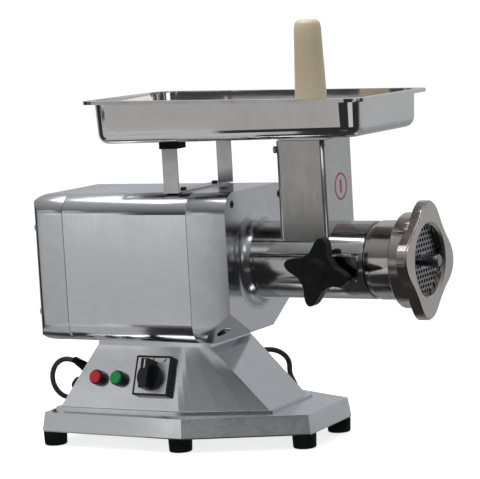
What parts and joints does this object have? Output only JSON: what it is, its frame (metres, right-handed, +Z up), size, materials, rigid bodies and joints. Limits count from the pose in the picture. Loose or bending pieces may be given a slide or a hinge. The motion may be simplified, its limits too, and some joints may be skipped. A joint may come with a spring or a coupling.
{
  "type": "electric meat grinder",
  "caption": "Bench-top electric meat grinder: motor housing on a flared pedestal and base, inlet tower with feed pan and pusher, clamped grinding head with lobed ring nut.",
  "frame": {"origin": "centre of the bounding box in plan, on the plane the feet rest on; cord left out", "axes": "+X along the grinding axis toward the outlet, -Y toward the control panel, +Z up"},
  "size_m": [0.5355, 0.3581, 0.491],
  "materials": {
    "brushed": "satin brushed stainless sheet",
    "cast": "satin bead-blasted casting",
    "steel": "plain machined steel",
    "polished": "polished stainless",
    "bright": "turned stainless",
    "rubber": "matt",
    "black": "satin moulded",
    "cream": "satin moulded",
    "red": "gloss",
    "green": "gloss",
    "castiron": "laminated core, varnished",
    "cordmat": "matt cable sheath"
  },
  "bodies": {
    "chassis": {"base_plate": "brushed", "bottom_cover": "brushed", "rubber_feet": "rubber", "foot_screws": "steel", "pedestal": "brushed", "pedestal_bolts": "steel", "motor_casing": "brushed", "rear_cap": "cast", "rear_cap_screws": "steel", "front_casting": "cast", "front_screws": "steel", "top_plug": "steel", "head_casting": "cast", "tower_screw": "steel", "output_bearings": "steel", "shaft_seal": "rubber", "layshaft_bearings": "steel", "gearbox_plate": "cast", "motor_stator": "castiron", "motor_bearings": "steel", "motor_shield": "cast", "pan_bracket": "brushed", "bracket_pads": "rubber", "bracket_screws": "steel", "switch_frame": "black", "switch_face": "bright", "switch_body": "black", "button_collars": "black", "button_blocks": "black", "run_capacitor": "black", "terminal_block": "cream", "cord_gland": "black", "fuse_holder": "black", "cord_tube": "cordmat", "cord_coil": "cordmat", "cord_plug": "black"},
    "head": {"head_tube": "polished"},
    "plate": {"cutting_plate": "bright"},
    "nut": {"ring_nut": "bright"},
    "screw": {"feed_screw": "polished", "screw_spindle": "bright", "knife": "steel", "output_shaft": "steel", "output_gear": "steel"},
    "lay": {"layshaft": "steel", "layshaft_gear": "steel", "layshaft_pinion": "steel"},
    "rotor": {"motor_rotor": "castiron", "motor_shaft": "steel", "motor_pinion": "steel", "cooling_fan": "black"},
    "clamp": {"clamp_screw": "steel"},
    "knob": {"clamp_knob": "black"},
    "pan": {"feed_pan": "polished"},
    "pusher_body": {"pusher": "cream"},
    "selector": {"switch_knob": "black"},
    "red": {"red_button": "red"},
    "green": {"green_button": "green"}
  },
  "joints": [
    {"name": "screw_turn", "type": "hinge", "parent": "chassis", "child": "screw", "pos_m": [0.1, 0, 0.213], "axis": [1, 0, 0], "continuous": true},
    {"name": "layshaft_turn", "type": "hinge", "parent": "chassis", "child": "lay", "pos_m": [-0.04, -0.03, 0.168], "axis": [1, 0, 0], "continuous": true},
    {"name": "rotor_turn", "type": "hinge", "parent": "chassis", "child": "rotor", "pos_m": [-0.13, 0, 0.2015], "axis": [1, 0, 0], "continuous": true},
    {"name": "head_pull", "type": "slide", "parent": "chassis", "child": "head", "axis": [1, 0, 0], "range_m": [0, 0.2]},
    {"name": "plate_travel", "type": "slide", "parent": "head", "child": "plate", "axis": [1, 0, 0], "range_m": [0, 0.012]},
    {"name": "nut_turn", "type": "hinge", "parent": "plate", "child": "nut", "pos_m": [0.22, 0, 0.213], "axis": [1, 0, 0], "range_deg": [0, 1080]},
    {"name": "clamp_travel", "type": "slide", "parent": "chassis", "child": "clamp", "axis": [0, -1, 0], "range_m": [0, 0.006]},
    {"name": "knob_turn", "type": "hinge", "parent": "clamp", "child": "knob", "pos_m": [0.128, -0.06, 0.208], "axis": [0, -1, 0], "range_deg": [0, 1440]},
    {"name": "pan_lift", "type": "slide", "parent": "chassis", "child": "pan", "axis": [0, 0, 1], "range_m": [0, 0.15]},
    {"name": "pusher_lift", "type": "slide", "parent": "chassis", "child": "pusher_body", "axis": [0, 0, 1], "range_m": [0, 0.25]},
    {"name": "selector_turn", "type": "hinge", "parent": "chassis", "child": "selector", "pos_m": [-0.094, -0.06663, 0.0798], "axis": [0, -0.9289, 0.3703], "range_deg": [-45, 45]},
    {"name": "red_press", "type": "slide", "parent": "chassis", "child": "red", "axis": [0, 0.9289, -0.3703], "range_m": [0, 0.003], "stiffness_N_per_m": 600, "springref_m": -0.002},
    {"name": "green_press", "type": "slide", "parent": "chassis", "child": "green", "axis": [0, 0.9289, -0.3703], "range_m": [0, 0.003], "stiffness_N_per_m": 600, "springref_m": -0.002}
  ],
  "couplings": [
    {"joint": "layshaft_turn", "follows": "screw_turn", "ratio": -2.8571},
    {"joint": "rotor_turn", "follows": "screw_turn", "ratio": 8.5714},
    {"joint": "plate_travel", "follows": "nut_turn", "m_per_rad": 0.00063662},
    {"joint": "clamp_travel", "follows": "knob_turn", "m_per_rad": 0.00023873}
  ]
}
